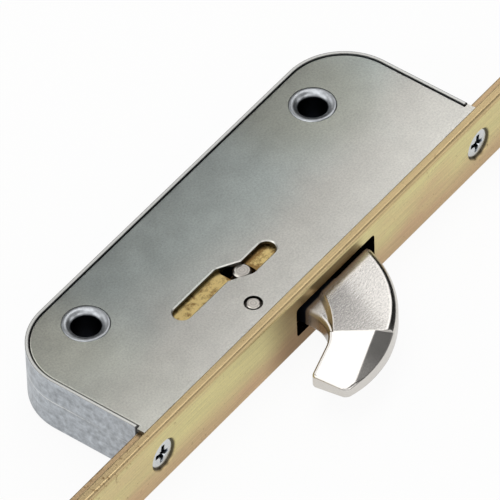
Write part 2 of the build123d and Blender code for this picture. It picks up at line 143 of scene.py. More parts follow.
class HookCaseFinishes(bpy.types.PropertyGroup):
    passivate_green: bpy.props.StringProperty(
        name="Passivate, green", description="Yellow passivated zinc, a thin film", default="#E0D59A")
    passivate_rose: bpy.props.StringProperty(
        name="Passivate, rose", description="Yellow passivated zinc, a thick film", default="#D2AC8A")
    # Real brown specks and grease, and also painted shade beside the strip's slot and on the hook next to the
    # faceplate
    stain_and_shade: bpy.props.StringProperty(
        name="Stain", description="Brown specks in the passivate, and old grease", default="#8A6A45")
    slider_gold: bpy.props.StringProperty(
        name="Slider gold", description="Yellow passivated zinc of the sliders", default="#EAD08E")
    # Real grease, and also painted shade on the sliders' far side
    slider_brown_and_shade: bpy.props.StringProperty(
        name="Slider brown", description="The sliders where the grease has darkened", default="#886236")
    # Painted shade: inside the eyelets' bores and on the hook inside the faceplate
    painted_inside_shade: bpy.props.StringProperty(
        name="Dark bore", description="Inside the eyelets, and the hook in the case", default="#151A22")
    # Painted shade in the screws' drive recess
    painted_recess_shade: bpy.props.StringProperty(
        name="Dark recess", description="The screws' drive recess, thinly plated", default="#5C6066")
    # Painted shade in gaps, seams and grooves, on cut edges and on slot walls
    painted_gap_shade: bpy.props.StringProperty(
        name="Dark groove", description="Gaps, grease and cut edges", default="#33302C")
    sheet_grey: bpy.props.StringProperty(
        name="Sheet grey", description="Zinc plated sheet of the cover", default="#DFDDD6")
    sheet_cool: bpy.props.StringProperty(
        name="Sheet, cool", description="The same zinc plate with a bluish passivate", default="#D6DEDA")
    sheet_warm: bpy.props.StringProperty(
        name="Sheet, warm", description="The same zinc plate with a yellowish passivate", default="#EDEEE1")
    sheet_thick: bpy.props.StringProperty(
        name="Sheet, thick", description="The same zinc plate with a thick passivate", default="#CACCC0")
    scratch_pale: bpy.props.StringProperty(
        name="Scratch", description="Fresh scratches, and the rubbed rim of the tray", default="#F4F4F0")
    drawn_grey: bpy.props.StringProperty(
        name="Drawn grey", description="Galvanised sheet of the tray's wall", default="#BFC4CA")
    nickel: bpy.props.StringProperty(
        name="Nickel", description="Nickel plate of the hook", default="#E4E0DB")
    bright_zinc: bpy.props.StringProperty(
        name="Bright zinc", description="Blue passivated zinc of screws and eyelets", default="#DCE0E4")
    bare_steel: bpy.props.StringProperty(
        name="Bare steel", description="Turned and ground steel of the pins", default="#DBD5CD")
    hook_crown: bpy.props.FloatProperty(
        name="Hook crown", description="Slope of the hook's faces where they are worn towards its root",
        default=0.105)
    cover_bow: bpy.props.FloatProperty(
        name="Cover bow", description="How fast the cover bows down towards its rear, per metre",
        default=0.45)


def finish_values():
    return bpy.context.scene.hook_case_finishes


def grainy(tree, place, spacing, detail, roughness, low, high):
    """A grain whose features are that many millimetres apart, and the tone that it gives."""
    grain = add(tree, "ShaderNodeTexNoise",
                {"Vector": place, "Scale": per_mm(spacing), "Detail": detail, "Roughness": roughness})
    return grain, add(tree, RANGE, (grain, NOISE_LOW, NOISE_HIGH, low, high))


def close_metal(tree, colour, roughness, normal, metallic=1.0):
    """Ends a metal's node tree: the metal itself and the material's output."""
    metal = add(tree, "ShaderNodeBsdfPrincipled",
                {"Base Color": colour, "Metallic": metallic, "Roughness": roughness, "Normal": normal})
    add(tree, "ShaderNodeOutputMaterial", {"Surface": metal})


# Where the strip's film changes, in metres, from where a change starts to where it is full
LOWER_ROSE_Z = (2 * MM, -6 * MM)
UPPER_ROSE_Z = (6.6 * MM, 7.8 * MM)
RAIL_Y = (0.0, 0.05 * MM)
HANDLED_X = (-56 * MM, -72 * MM)
HANDLED_Z = (4 * MM, 7 * MM)
# Beside the slot the strip is darkened by grease and painted shade
BEFORE_SLOT_X = (-23 * MM, -11 * MM)
PAST_SLOT_X = (15 * MM, 9 * MM)
FRONT_FACE_TOP = 6.9 * MM
SLOT_HALF_WIDTH = 5.5 * MM
CASE_REACH = 60 * MM
SCREW_GAP = 0.25 * MM
SUNK_FROM = 0.2 * MM
SUNK_TO = 0.1 * MM


def strip_film(tree, place, y, z, values):
    """Rose clouds on green, with more rose towards both edges and on the rail behind."""
    long = add(tree, "ShaderNodeMapping", {"Vector": place, "Scale": (0.35, 1, 1)})
    clouds = add(tree, "ShaderNodeTexNoise",
                 {"Vector": long, "Scale": per_mm(9), "Detail": 3, "Roughness": 0.55})
    cloud_share = add(tree, RANGE, (clouds, 0.48, 0.75, 0, 0.5))
    edge_share = add(tree, RANGE, (z, *LOWER_ROSE_Z), **SOFT)
    lower_share = add(tree, MATH, (edge_share, 0.7, cloud_share), operation="MULTIPLY_ADD", use_clamp=True)
    upper_share = add(tree, RANGE, (z, *UPPER_ROSE_Z, 0, 0.55), **SOFT)
    front_share = add(tree, MATH, (lower_share, upper_share), operation="MAXIMUM")
    rail_share = add(tree, RANGE, (y, *RAIL_Y, 0, 0.75))
    rose_share = add(tree, MATH, (front_share, rail_share), operation="MAXIMUM")
    return add(tree, MIX,
               (rose_share, linear(values.passivate_green), linear(values.passivate_rose)), **BLEND)


def strip_brown(tree, place, x, z):
    """Where the strip is brown: specks, most where it was handled, and beside the slot grease with painted
    shade, standing in for the hook's reflection and shadow.
    """
    specks = add(tree, "ShaderNodeTexNoise",
                 {"Vector": place, "Scale": per_mm(1.1), "Detail": 4, "Roughness": 0.7})
    left_end = add(tree, RANGE, (x, *HANDLED_X, 0, 0.09), **SOFT)
    top_edge = add(tree, RANGE, (z, *HANDLED_Z), **SOFT)
    handled = add(tree, MATH, (left_end, top_edge, specks), operation="MULTIPLY_ADD")
    speck_share = add(tree, RANGE, (handled, 0.64, 0.74, 0, 0.8))
    # Beside the slot: grease and painted shade, for the hook's reflection and shadow on the strip
    before_slot = add(tree, RANGE, (x, *BEFORE_SLOT_X, 0, 0.75), **SOFT)
    past_slot = add(tree, RANGE, (x, *PAST_SLOT_X), **SOFT)
    front_only = add(tree, MATH, (z, FRONT_FACE_TOP), operation="LESS_THAN")
    beside_slot = add(tree, MATH, (before_slot, past_slot), operation="MULTIPLY")
    grease_and_painted_shade = add(tree, MATH, (beside_slot, front_only), operation="MULTIPLY")
    return add(tree, MATH, (speck_share, grease_and_painted_shade), operation="MAXIMUM")


def strip_dark(tree, x, y, z, facing_y):
    """Painted shade on the strip: on the slot's inner walls and in the gap round the sunk screws."""
    edge_on = add(tree, MATH, (facing_y, 0.0, 0.3), operation="COMPARE")
    inner = add(tree, MATH, (z, 0.0, SLOT_HALF_WIDTH), operation="COMPARE")
    under_case = add(tree, MATH, (x, 0.0, CASE_REACH), operation="COMPARE")
    inner_wall = add(tree, MATH, (edge_on, inner), operation="MULTIPLY")
    slot_wall_shade = add(tree, MATH, (inner_wall, under_case), operation="MULTIPLY")
    low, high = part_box("left_case_screw")
    beside = add(tree, MATH, (x,), operation="ABSOLUTE")
    folded = add(tree, "ShaderNodeCombineXYZ", {"X": beside, "Z": z})
    from_screw = add(tree, "ShaderNodeVectorMath", (folded, (abs(low.x + high.x) / 2, 0, 0)),
                     operation="DISTANCE")
    near_screw = add(tree, MATH, (from_screw, (high.x - low.x) / 2 + SCREW_GAP), operation="LESS_THAN")
    sunk = add(tree, RANGE, (y, low.y - SUNK_FROM, low.y + SUNK_TO, 0, 0.9))
    screw_gap_shade = add(tree, MATH, (near_screw, sunk), operation="MULTIPLY")
    return add(tree, MATH, (slot_wall_shade, screw_gap_shade), operation="MAXIMUM")


def passivated_strip():
    """Yellow passivated zinc on rolled strip steel.

    The chromate film changes from yellow-green to rose in clouds some 10 mm long, with brown
    specks, and beside the slot with grease and painted shade. The rolled strip under it keeps
    fine lines along its length, which soften its reflections."""
    values = finish_values()
    material, tree = empty_material("yellow_passivated_zinc_rolled")
    where = add(tree, "ShaderNodeTexCoord")
    place = where.outputs["Object"]
    x, y, z = add(tree, "ShaderNodeSeparateXYZ", (place,)).outputs
    facing = add(tree, "ShaderNodeSeparateXYZ", (where.outputs["Normal"],))
    film = strip_film(tree, place, y, z, values)
    stained_and_shaded = add(tree, MIX, (strip_brown(tree, place, x, z), film, linear(values.stain_and_shade)), **BLEND)
    # Painted shade on the slot's walls and round the sunk screws
    painted_shade_share = strip_dark(tree, x, y, z, facing.outputs["Y"])
    gapped = add(tree, MIX, (painted_shade_share, stained_and_shaded, linear(values.painted_gap_shade)), **BLEND)
    rolled = add(tree, "ShaderNodeMapping", {"Vector": place, "Scale": (0.02, 1, 1)})
    lines, line_tone = grainy(tree, rolled, 0.35, 2, 0.6, 0.86, 1.06)
    lined = add(tree, MIX, (1.0, gapped, line_tone), **TINT)
    grain, grain_tone = grainy(tree, place, 0.5, 2, 0.7, 0.9, 1.08)
    colour = add(tree, MIX, (1.0, lined, grain_tone), **TINT)
    relief = add(tree, MATH, (grain, 0.5, lines), operation="MULTIPLY_ADD")
    bump = add(tree, "ShaderNodeBump", {"Height": relief, "Strength": 0.25, "Distance": FINE_RELIEF})
    gloss = add(tree, RANGE, (grain, NOISE_LOW, NOISE_HIGH, 0.27, 0.4))
    close_metal(tree, colour, gloss, bump)
    return material


# Where the sliders are browner, in metres: round the follower pin, and with painted shade on the side away
# from the strip
DARKER_NEAR_PIN = (5.5 * MM, 2.5 * MM)
SHADED_SIDE_Y = (11.4 * MM, 13.4 * MM)


def greased_passivate():
    """Yellow passivated zinc on the sliders, seen through the cover's cranked slot.

    Old grease gives them a deeper gold, with brown mottles a millimetre or so across. They are
    browner round the follower pin, and painted shade darkens the far side past it."""
    values = finish_values()
    material, tree = empty_material("yellow_passivated_zinc_greased")
    place = add(tree, "ShaderNodeTexCoord").outputs["Object"]
    x, y = add(tree, "ShaderNodeSeparateXYZ", (place,)).outputs[:2]
    mottle = add(tree, "ShaderNodeTexNoise",
                 {"Vector": place, "Scale": per_mm(1.3), "Detail": 5, "Roughness": 0.7})
    pin = middle_of("follower_pin")
    from_pin = add(tree, "ShaderNodeVectorMath",
                   (place, (pin.x, pin.y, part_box("upper_slider_plate")[1].z)), operation="DISTANCE")
    tone_by_place = add(tree, RANGE, (from_pin, *DARKER_NEAR_PIN, 0, 0.1), **SOFT)
    past_pin = add(tree, MATH, (x, pin.x), operation="GREATER_THAN")
    # Painted shade on the far side past the pin, where the cover's slot wall shades the sliders
    far_side = add(tree, RANGE, (y, *SHADED_SIDE_Y, 0, 0.16), **SOFT)
    browned = add(tree, MATH, (past_pin, far_side, mottle), operation="MULTIPLY_ADD")
    darkened = add(tree, MATH, (browned, tone_by_place), operation="ADD")
    brown_share = add(tree, RANGE, (darkened, 0.47, 0.64, 0, 0.85))
    colour = add(tree, MIX, (brown_share, linear(values.slider_gold), linear(values.slider_brown_and_shade)), **BLEND)
    bump = add(tree, "ShaderNodeBump", {"Height": mottle, "Strength": 0.5, "Distance": GREASE_RELIEF})
    close_metal(tree, colour, 0.34, bump)
    return material


# Scratches on the cover, from one end to the other, in millimetres
SCRATCHES_MM = (
    ((-26.4, 37.6), (-26.9, 33.6)), ((-28.2, 36.4), (-26.8, 34.9)), ((-49.0, 34.6), (-45.6, 37.4)),
    ((-50.6, 31.0), (-47.5, 36.2)), ((-37.2, 5.9), (-37.9, 2.7)), ((-38.4, 5.2), (-37.5, 4.4)),
    ((41.0, 36.6), (44.8, 34.1)), ((43.0, 33.0), (45.6, 34.6)))
SCRATCH_WIDTH = (0.14 * MM, 0.05 * MM)

# Where the cover's film, its painted light and its lines of painted shade change, in metres
COOL_REAR_Y = (22 * MM, 42 * MM)
COOL_DRIFT = 24 * MM
WARM_END_X = (-30 * MM, -48 * MM)
PAINTED_LIGHT_END_X = (12 * MM, 52 * MM)
THICK_FILM = (24 * MM, 8 * MM)
THICK_BEHIND_EYELET = 4 * MM
SEAM_LINE = (RIM_WIDTH + 0.38 * MM, RIM_WIDTH + 0.24 * MM)
PIVOT_GROOVE = 2.6 * MM
GROOVE_DEPTH = 0.1 * MM


def scratch_share(tree, place):
    """Where the cover is scratched: close to one of a few short straight lines."""
    found = 0.0
    for first, last in SCRATCHES_MM:
        start = Vector((first[0] * MM, first[1] * MM, STRIP_TOP))
        line = Vector((last[0] * MM, last[1] * MM, STRIP_TOP)) - start
        away = add(tree, "ShaderNodeVectorMath", (place, start), operation="SUBTRACT")
        along = add(tree, "ShaderNodeVectorMath", (away, line / line.length_squared), operation="DOT_PRODUCT")
        held = add(tree, "ShaderNodeClamp", {"Value": along})
        foot = add(tree, "ShaderNodeVectorMath", (line, held), operation="SCALE")
        gap = add(tree, "ShaderNodeVectorMath", (away, foot), operation="DISTANCE")
        share = add(tree, RANGE, (gap, *SCRATCH_WIDTH, 0, 0.8))
        found = add(tree, MATH, (found, share), operation="MAXIMUM")
    return found


def case_inset(tree, x, y):
    """How far a point lies inside the case's outline, seen from the cover, in metres."""
    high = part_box("case_tray")[1]
    across = add(tree, MATH, (x,), operation="ABSOLUTE")
    beyond = []
    for side, reach in ((across, high.x), (y, high.y)):
        past = add(tree, MATH, (side, reach - CASE_RADIUS), operation="SUBTRACT")
        beyond.append(add(tree, MATH, (past, 0.0), operation="MAXIMUM"))
    corner = add(tree, "ShaderNodeCombineXYZ", beyond)
    out = add(tree, "ShaderNodeVectorMath", (corner,), operation="LENGTH")
    return add(tree, MATH, (CASE_RADIUS, out), operation="SUBTRACT")


def cover_film(tree, place, x, y, values):
    """Cooler towards the rear, warmer at the left end and thickest behind the right eyelet."""
    drift = add(tree, "ShaderNodeTexNoise", {"Vector": place, "Scale": per_mm(25), "Detail": 2})
    drifted = add(tree, MATH, (drift, COOL_DRIFT, y), operation="MULTIPLY_ADD")
    cool_share = add(tree, RANGE, (drifted, *COOL_REAR_Y), **SOFT)
    cooled = add(tree, MIX, (cool_share, linear(values.sheet_grey), linear(values.sheet_cool)), **BLEND)
    left_end = add(tree, RANGE, (x, *WARM_END_X), **SOFT)
    rear_more = add(tree, RANGE, (cool_share, 0, 1, 0.35, 1))
    warm_share = add(tree, MATH, (left_end, rear_more), operation="MULTIPLY")
    warmed = add(tree, MIX, (warm_share, cooled, linear(values.sheet_warm)), **BLEND)
    eyelet = middle_of("right_eyelet")
    from_eyelet = add(tree, "ShaderNodeVectorMath",
                      (place, (eyelet.x, eyelet.y + THICK_BEHIND_EYELET, STRIP_TOP)), operation="DISTANCE")
    thick_share = add(tree, RANGE, (from_eyelet, *THICK_FILM, 0, 0.85), **SOFT)
    return add(tree, MIX, (thick_share, warmed, linear(values.sheet_thick)), **BLEND)


def cover_dark(tree, place, x, y, z, facing_z):
    """Painted shade on the cover: its blanked edges and slot walls, its seam and the groove round the pivot.
    """
    flat = add(tree, MATH, (facing_z,), operation="ABSOLUTE")
    edge_share = add(tree, RANGE, (flat, 0.25, 0.05, 0, 0.95))
    pivot = middle_of("hook_pivot_pin")
    from_pivot = add(tree, "ShaderNodeVectorMath", (place, (pivot.x, pivot.y, STRIP_TOP)),
                     operation="DISTANCE")
    near_pivot = add(tree, MATH, (from_pivot, PIVOT_GROOVE), operation="LESS_THAN")
    groove_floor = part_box("cover_plate")[1].z - GROOVE_DEPTH
    sunk = add(tree, MATH, (z, groove_floor), operation="LESS_THAN")
    groove_share = add(tree, MATH, (near_pivot, sunk), operation="MULTIPLY")
    margin = add(tree, RANGE, (case_inset(tree, x, y), *SEAM_LINE, 0, 0.85))
    behind_ears = add(tree, MATH, (y, WALL_FRONT), operation="GREATER_THAN")
    seam_share = add(tree, MATH, (margin, behind_ears), operation="MULTIPLY")
    cut_share = add(tree, MATH, (edge_share, seam_share), operation="MAXIMUM")
    return add(tree, MATH, (cut_share, groove_share), operation="MAXIMUM")


def plated_sheet():
    """Zinc plated cold rolled sheet, as blanked.

    A satin grey with a fine crystalline grain and a few pale scratches. Painted shade darkens the
    blanked edges and slot walls, the seam along the tray's rim and the groove round the pivot. The sheet
    bows outwards a little, so what it mirrors changes from its front edge to its rear one."""
    values = finish_values()
    material, tree = empty_material("zinc_plated_sheet_blanked")
    where = add(tree, "ShaderNodeTexCoord")
    place = where.outputs["Object"]
    x, y, z = add(tree, "ShaderNodeSeparateXYZ", (place,)).outputs
    facing = add(tree, "ShaderNodeSeparateXYZ", (where.outputs["Normal"],))
    haze, haze_tone = grainy(tree, place, 7, 4, 0.6, 0.93, 1.04)
    grain, grain_tone = grainy(tree, place, 0.45, 3, 0.7, 0.86, 1.12)
    grained = add(tree, MATH, (haze_tone, grain_tone), operation="MULTIPLY")
    # Painted light: the cover grows lighter towards its right end
    tone_by_place = add(tree, RANGE, (x, *PAINTED_LIGHT_END_X, 0.95, 1.14), **SOFT)
    shade = add(tree, MATH, (grained, tone_by_place), operation="MULTIPLY")
    plated = add(tree, MIX, (1.0, cover_film(tree, place, x, y, values), shade), **TINT)
    scratched = add(tree, MIX, (scratch_share(tree, place), plated, linear(values.scratch_pale)), **BLEND)
    # Painted shade on the cut edges and slot walls, the seam and the pivot's groove
    painted_shade_share = cover_dark(tree, place, x, y, z, facing.outputs["Z"])
    colour = add(tree, MIX, (painted_shade_share, scratched, linear(values.painted_gap_shade)), **BLEND)
    from_front = add(tree, MATH, (y, 0.0), operation="MAXIMUM")
    squared = add(tree, MATH, (from_front, 2.0), operation="POWER")
    bow = add(tree, MATH, (squared, -values.cover_bow), operation="MULTIPLY")
    bowed = add(tree, "ShaderNodeBump", {"Height": bow, "Strength": 1.0, "Distance": 1.0})
    bump = add(tree, "ShaderNodeBump",
               {"Height": grain, "Strength": 0.8, "Distance": GRAIN_RELIEF, "Normal": bowed})
    gloss = add(tree, RANGE, (haze, NOISE_LOW, NOISE_HIGH, 0.3, 0.33))
    close_metal(tree, colour, gloss, bump)
    return material


# Lines on the tray, in metres, from where they start to where they are full: painted shade along the rim and
# at the wall's front, and the pale score line
RIM_INNER_LINE = (RIM_WIDTH - 0.22 * MM, RIM_WIDTH - 0.1 * MM)
RIM_OUTER_LINE = (0.2 * MM, 0.08 * MM)
FRONT_LINE_Y = (WALL_FRONT + 0.5 * MM, WALL_FRONT + 0.3 * MM)
FRONT_LINE_BOTTOM = 3 * MM
SCORE_Z = 1.4 * MM
SCORE_WAVE = 0.5 * MM
SCORE_WIDTH = (0.2 * MM, 0.06 * MM)


def tray_lines(tree, x, y, z, on_rim):
    """Painted shade on the tray: along both edges of its rim and at the wall's front edge."""
    inset = case_inset(tree, x, y)
    inner = add(tree, RANGE, (inset, *RIM_INNER_LINE, 0, 0.9))
    outer = add(tree, RANGE, (inset, *RIM_OUTER_LINE, 0, 0.5))
    lines = add(tree, MATH, (inner, outer), operation="MAXIMUM")
    rim_share = add(tree, MATH, (lines, on_rim), operation="MULTIPLY")
    front = add(tree, RANGE, (y, *FRONT_LINE_Y, 0, 0.92))
    upper_wall = add(tree, MATH, (z, FRONT_LINE_BOTTOM), operation="GREATER_THAN")
    front_share = add(tree, MATH, (front, upper_wall), operation="MULTIPLY")
    return add(tree, MATH, (rim_share, front_share), operation="MAXIMUM")


def score_share(tree, z, waves, streaks):
    """A pale line that the die scored round the wall, broken where the streaks are low."""
    wavy = add(tree, MATH, (waves, SCORE_WAVE, z), operation="MULTIPLY_ADD")
    above = add(tree, MATH, (wavy, SCORE_Z), operation="SUBTRACT")
    away = add(tree, MATH, (above,), operation="ABSOLUTE")
    line = add(tree, RANGE, (away, *SCORE_WIDTH, 0, 0.6))
    part = add(tree, RANGE, (streaks, 0.4, 0.5))
    return add(tree, MATH, (line, part), operation="MULTIPLY")


def drawn_sheet():
    """Galvanised sheet, deep drawn.

    The die leaves streaks round the wall and one pale score line, on a blotched grey. The
    rim is worn pale by rubbing, with a line of painted shade along each of its edges."""
    values = finish_values()
    material, tree = empty_material("galvanised_sheet_deep_drawn")
    where = add(tree, "ShaderNodeTexCoord")
    place = where.outputs["Object"]
    x, y, z = add(tree, "ShaderNodeSeparateXYZ", (place,)).outputs
    facing = add(tree, "ShaderNodeSeparateXYZ", (where.outputs["Normal"],))
    gloss = add(tree, RANGE, (facing.outputs["Z"], 0.5, 0.95, 0.34, 0.45))
    round_wall = add(tree, "ShaderNodeMapping", {"Vector": place, "Scale": (0.03, 0.03, 1)})
    streaks, streak_tone = grainy(tree, round_wall, 1.1, 4, 0.65, 0.82, 1.05)
    blotch, blotch_tone = grainy(tree, place, 1.6, 4, 0.7, 0.64, 1.24)
    wall_tone = add(tree, MATH, (streak_tone, blotch_tone), operation="MULTIPLY")
    on_rim = add(tree, RANGE, (facing.outputs["Z"], 0.3, 0.6))
    base = add(tree, MIX, (on_rim, linear(values.drawn_grey), linear(values.scratch_pale)), **BLEND)
    tone = add(tree, MIX, (on_rim, wall_tone, 1.0), data_type="FLOAT")
    grey = add(tree, MIX, (1.0, base, tone), **TINT)
    # Painted shade along both edges of the rim and at the wall's front edge
    line_share = tray_lines(tree, x, y, z, on_rim)
    lined = add(tree, MIX, (line_share, grey, linear(values.painted_gap_shade)), **BLEND)
    scored = score_share(tree, z, blotch, streaks)
    colour = add(tree, MIX, (scored, lined, linear(values.scratch_pale)), **BLEND)
    bump = add(tree, "ShaderNodeBump", {"Height": streaks, "Strength": 0.3, "Distance": GRAIN_RELIEF})
    close_metal(tree, colour, gloss, bump)
    return material


# Where the hook's plate changes, in metres, from where a change starts to where it is full
# The first two mark a band of painted shade next to the faceplate, the third painted shade inside it
SHADE_BAND_Y = (-3.9 * MM, -3.1 * MM)
SHADE_BAND_WAVE = 0.8 * MM
INSIDE_Y = (-3.2 * MM, -2.7 * MM)
BEVEL_SHADE_X = (-15 * MM, -7 * MM)
ROOT_Y = (-8 * MM, -5 * MM)
ROOT_RIGHT = 2 * MM
STEP_DEPTH = 0.15 * MM
CROWN_START = (3.0 * MM, -7.5 * MM, 0)
CROWN_TOWARDS = (-0.953, 0.302, 0)
CROWN_EASE = 4 * MM
EDGE_RADIUS = 0.45 * MM

# How far a face's normal points up or down: on the broad top, on any face that isn't a wall
BROAD_TOP = (0.993, 0.999)
NOT_A_WALL = 0.9


def nickel_tone(tree, x, facing_y, flat, place):
    """The plate's tone: pores, deepest on the broad top, and painted shade that darkens the bevel upwards."""
    pores = add(tree, "ShaderNodeTexNoise",
                {"Vector": place, "Scale": per_mm(0.35), "Detail": 2, "Roughness": 0.8})
    pit = add(tree, RANGE, (pores, 0.62, 0.3))
    pit_depth = add(tree, RANGE, (flat, *BROAD_TOP, 0.04, 0.25))
    pitted = add(tree, MATH, (pit, pit_depth), operation="MULTIPLY")
    even_tone = add(tree, MATH, (0.95, pitted), operation="SUBTRACT")
    # Painted shade: the bevel darkens towards its upper end
    on_bevel = add(tree, RANGE, (facing_y, -0.18, -0.26, 0, 0.4))
    sloped = add(tree, MATH, (flat, NOT_A_WALL), operation="GREATER_THAN")
    upper_end = add(tree, RANGE, (x, *BEVEL_SHADE_X), **SOFT)
    bevel_end = add(tree, MATH, (sloped, upper_end), operation="MULTIPLY")
    shaded = add(tree, MATH, (on_bevel, bevel_end), operation="MULTIPLY")
    return add(tree, MATH, (even_tone, shaded), operation="SUBTRACT")


def root_share(tree, x, y, z):
    """Where the casting stayed rough: on its step, next to the faceplate."""
    at_root = add(tree, RANGE, (y, *ROOT_Y), **SOFT)
    on_left = add(tree, MATH, (x, ROOT_RIGHT), operation="LESS_THAN")
    step_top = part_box("hook_bolt")[1].z - STEP_DEPTH
    on_step = add(tree, MATH, (z, step_top), operation="LESS_THAN")
    root_left = add(tree, MATH, (at_root, on_left), operation="MULTIPLY")
    return add(tree, MATH, (root_left, on_step), operation="MULTIPLY")


def worn_normal(tree, place, crown):
    """The hook's rounded edges and the slope of its faces where they are worn."""
    beyond = add(tree, "ShaderNodeVectorMath", (place, CROWN_START), operation="SUBTRACT")
    away = add(tree, "ShaderNodeVectorMath", (beyond, CROWN_TOWARDS), operation="DOT_PRODUCT")
    worn = add(tree, MATH, (away, 0.0, CROWN_EASE), operation="SMOOTH_MAX")
    fall = add(tree, MATH, (worn, -crown), operation="MULTIPLY")
    rounded = add(tree, "ShaderNodeBevel", {"Radius": EDGE_RADIUS}, samples=8)
    return add(tree, "ShaderNodeBump", {"Height": fall, "Strength": 1.0, "Distance": 1.0, "Normal": rounded})


def nickel_plate():
    """Nickel plate on a vibratory finished casting.

    The broad top keeps a fine pebble and pores from the stones, which make it satin, while
    the tip, the bevel and the outer wall were buffed and mirror what stands around them. The
    root is rough on its step. Next to the faceplate a brown band of painted shade stands in for
    the faceplate's shadow and reflection, and inside the faceplate painted shade makes it dark."""
    values = finish_values()
    material, tree = empty_material("nickel_plate_tumbled")
    where = add(tree, "ShaderNodeTexCoord")
    place = where.outputs["Object"]
    x, y, z = add(tree, "ShaderNodeSeparateXYZ", (place,)).outputs
    facing = add(tree, "ShaderNodeSeparateXYZ", (where.outputs["Normal"],))
    flat = add(tree, MATH, (facing.outputs["Z"],), operation="ABSOLUTE")
    tone = nickel_tone(tree, x, facing.outputs["Y"], flat, place)
    clean = add(tree, MIX, (1.0, linear(values.nickel), tone), **TINT)
    pebble = add(tree, "ShaderNodeTexNoise",
                 {"Vector": place, "Scale": per_mm(0.45), "Detail": 3, "Roughness": 0.7})
    # Painted shade: a brown band next to the faceplate, for its shadow and reflection on the hook
    shade_band_edge = add(tree, MATH, (pebble, SHADE_BAND_WAVE, y), operation="MULTIPLY_ADD")
    shade_band = add(tree, RANGE, (shade_band_edge, *SHADE_BAND_Y, 0, 0.8), **SOFT)
    band_shaded = add(tree, MIX, (shade_band, clean, linear(values.stain_and_shade)), **BLEND)
    # Painted shade on the hook where it runs inside the faceplate
    inside = add(tree, RANGE, (y, *INSIDE_Y), **SOFT)
    colour = add(tree, MIX, (inside, band_shaded, linear(values.painted_inside_shade)), **BLEND)
    metallic = add(tree, MATH, (shade_band, -0.6, 1.0), operation="MULTIPLY_ADD")
    gloss = add(tree, RANGE, (flat, 0.8, 0.97, 0.2, 0.17))
    roughness = add(tree, MIX, (root_share(tree, x, y, z), gloss, 0.36), data_type="FLOAT")
    pebbled = add(tree, RANGE, (flat, *BROAD_TOP, 0.12, 0.42))
    bump = add(tree, "ShaderNodeBump",
               {"Height": pebble, "Strength": pebbled, "Distance": GRAIN_RELIEF,
                "Normal": worn_normal(tree, place, values.hook_crown)})
    close_metal(tree, colour, roughness, bump, metallic)
    return material


def bright_zinc(tree, place, low, high, relief):
    """Blue passivated zinc plate: its colour, in tones from low to high, and its bump."""
    grain, tone = grainy(tree, place, 0.9, 3, 0.5, low, high)
    colour = add(tree, MIX, (1.0, linear(finish_values().bright_zinc), tone), **TINT)
    bump = add(tree, "ShaderNodeBump", {"Height": grain, "Strength": relief, "Distance": GRAIN_RELIEF})
    return colour, bump


# How deep behind its bright edge the painted shade in the screws' recess is full, in metres
RECESS_FADE = 0.3 * MM


def blue_zinc(recess_front):
    """Blue passivated bright zinc on the cold headed screws.

    A pale bluish metal with soft, slightly uneven reflections. Behind recess_front painted shade
    darkens the drive recess."""
    material, tree = empty_material("bright_zinc_cold_headed")
    place = add(tree, "ShaderNodeTexCoord").outputs["Object"]
    y = add(tree, "ShaderNodeSeparateXYZ", (place,)).outputs["Y"]
    bright, bump = bright_zinc(tree, place, 0.92, 1.04, 0.25)
    # Painted shade in the drive recess
    deep_share = add(tree, RANGE, (y, recess_front, recess_front + RECESS_FADE))
    colour = add(tree, MIX, (deep_share, bright, linear(finish_values().painted_recess_shade)), **BLEND)
    close_metal(tree, colour, 0.25, bump)
    return material


# How deep in the eyelets the painted shade in their bore starts and is full, in metres
BORE_FROM = 0.55 * MM
BORE_TO = 1.15 * MM


def flared_tube():
    """Blue passivated bright zinc on the eyelets' flares, with painted shade darkening the bore."""
    material, tree = empty_material("bright_zinc_flared")
    place = add(tree, "ShaderNodeTexCoord").outputs["Object"]
    z = add(tree, "ShaderNodeSeparateXYZ", (place,)).outputs["Z"]
    low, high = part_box("left_eyelet")
    half = (high.z - low.z) / 2
    height = add(tree, MATH, (z, (low.z + high.z) / 2), operation="SUBTRACT")
    from_middle = add(tree, MATH, (height,), operation="ABSOLUTE")
    # Painted shade deep in the bore
    painted_shade_share = add(tree, RANGE, (from_middle, half - BORE_FROM, half - BORE_TO), **SOFT)
    bright, bump = bright_zinc(tree, place, 0.6, 0.8, 0.4)
    colour = add(tree, MIX, (painted_shade_share, bright, linear(finish_values().painted_inside_shade)), **BLEND)
    close_metal(tree, colour, 0.34, bump)
    return material


# How far apart the lathe's rings are drawn, and what a wave texture of scale 1 has in a metre
RING_MM = 0.6
WAVE_UNIT = math.tau / 20


def turned_steel(name, x, y):
    """Bare free-cutting steel, turned.

    The lathe tool leaves rings round the pin's own axis, drawn 0.6 mm apart so that they show."""
    material, tree = empty_material(name)
    place = add(tree, "ShaderNodeTexCoord").outputs["Object"]
    centred = add(tree, "ShaderNodeMapping", {"Vector": place, "Location": (-x, -y, 0)})
    wave = add(tree, "ShaderNodeTexWave",
               {"Vector": centred, "Scale": per_mm(RING_MM) * WAVE_UNIT, "Distortion": 0.6},
               wave_type="RINGS", rings_direction="Z")
    rings = wave.outputs["Fac"]
    tone = add(tree, RANGE, (rings, 0, 1, 0.8, 1.03))
    colour = add(tree, MIX, (1.0, linear(finish_values().bare_steel), tone), **TINT)
    bump = add(tree, "ShaderNodeBump", {"Height": rings, "Strength": 0.3, "Distance": FINE_RELIEF})
    close_metal(tree, colour, 0.3, bump)
    return material


def dress(material, *names):
    """Gives CAD nodes one material."""
    for name in names:
        mesh = NODES[name].data
        mesh.materials.clear()
        mesh.materials.append(material)


# Pieces


